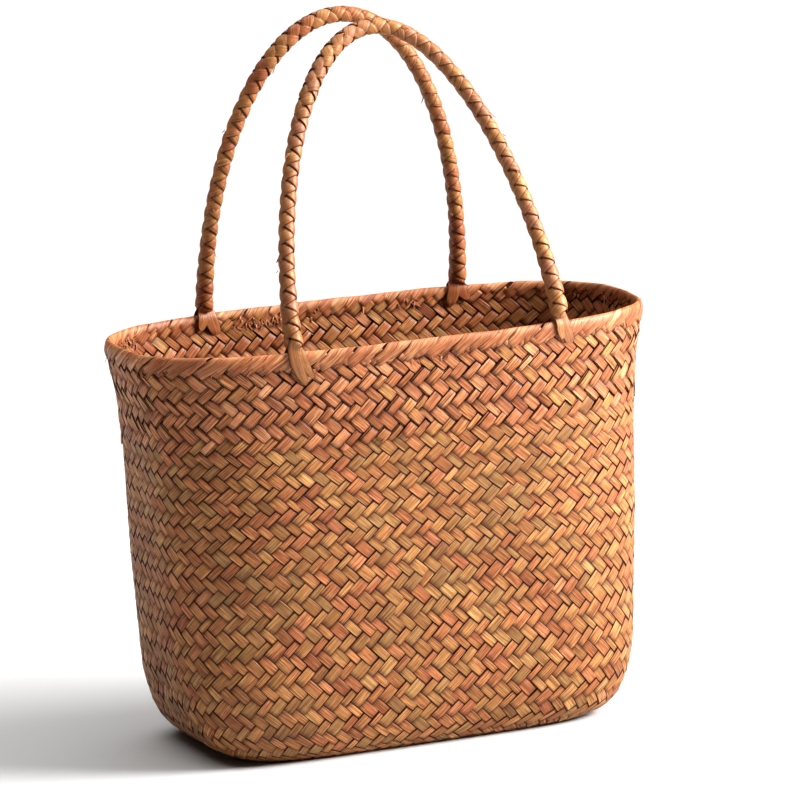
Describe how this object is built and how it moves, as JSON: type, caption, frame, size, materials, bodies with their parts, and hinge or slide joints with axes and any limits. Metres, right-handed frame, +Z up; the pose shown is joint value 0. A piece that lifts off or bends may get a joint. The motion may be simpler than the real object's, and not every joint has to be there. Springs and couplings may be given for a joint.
{
  "type": "straw basket bag",
  "caption": "Open oval basket bag of plaited straw strips with a folded rim, a flat base and a pair of upright plaited arch handles.",
  "frame": {"origin": "middle of the flat underside, where the bag stands", "axes": "+Z up, +X along the bag's length, +Y towards the back handle"},
  "size_m": [0.3, 0.145, 0.3899],
  "materials": {
    "plaited_straw": "satin dry straw",
    "folded_straw": "satin dry straw",
    "braided_straw": "smooth satin straw"
  },
  "bodies": {
    "root": {"woven_body": "plaited_straw", "rim_fold": "folded_straw", "handle_front": "braided_straw", "handle_back": "braided_straw"}
  },
  "joints": []
}
